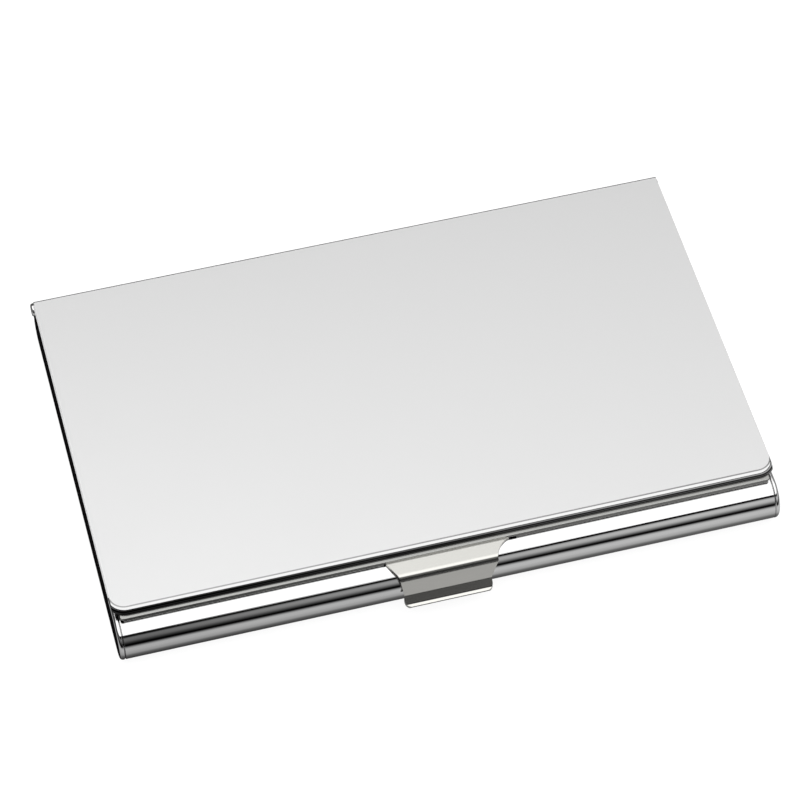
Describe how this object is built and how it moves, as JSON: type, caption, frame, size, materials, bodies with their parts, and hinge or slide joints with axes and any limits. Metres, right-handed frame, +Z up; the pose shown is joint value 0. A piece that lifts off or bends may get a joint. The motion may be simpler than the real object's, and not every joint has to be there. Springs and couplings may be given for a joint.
{
  "type": "business card case",
  "caption": "Slim hinged metal case for business cards, with a satin lid, a round polished front and a thumb latch.",
  "frame": {"origin": "on the flat underside, at the centre of the whole case with its latch", "axes": "+X to the right along the hinge, +Y to the hinge at the back, +Z up out of the lid"},
  "size_m": [0.0944, 0.0628, 0.0086],
  "materials": {
    "polished_steel": "mirror polished stainless steel",
    "satin_plate": "fine satin",
    "frame_steel": "plain rolled, polished front edge",
    "brushed_tab": "brushed across the tab",
    "hinge_steel": "plain rolled",
    "pin_steel": "bright drawn wire, peened ends",
    "rivet_steel": "turned",
    "spring_steel": "rolled spring strip",
    "lifter_steel": "lengthwise brushed"
  },
  "bodies": {
    "case_base": {"base_shell": "polished_steel", "left_end_wall": "polished_steel", "right_end_wall": "polished_steel", "base_hinge_leaf": "hinge_steel", "hinge_pin": "pin_steel"},
    "lid": {"lid_plate": "satin_plate", "lid_frame": "frame_steel", "lid_hinge_leaf": "hinge_steel", "latch_tab": "brushed_tab", "latch_rivets": "rivet_steel", "card_spring": "spring_steel", "card_spring_rivets": "rivet_steel"},
    "lifter": {"card_lifter": "lifter_steel"}
  },
  "joints": [
    {"name": "lid_hinge", "type": "hinge", "parent": "case_base", "child": "lid", "pos_m": [0, 0.02995, 0.0066], "axis": [-1, 0, 0], "range_deg": [0, 110]},
    {"name": "lifter_hinge", "type": "hinge", "parent": "case_base", "child": "lifter", "pos_m": [0, 0.02995, 0.0066], "axis": [-1, 0, 0], "range_deg": [0, 18]}
  ],
  "couplings": [
    {"joint": "lifter_hinge", "follows": "lid_hinge", "ratio": 0.16}
  ]
}
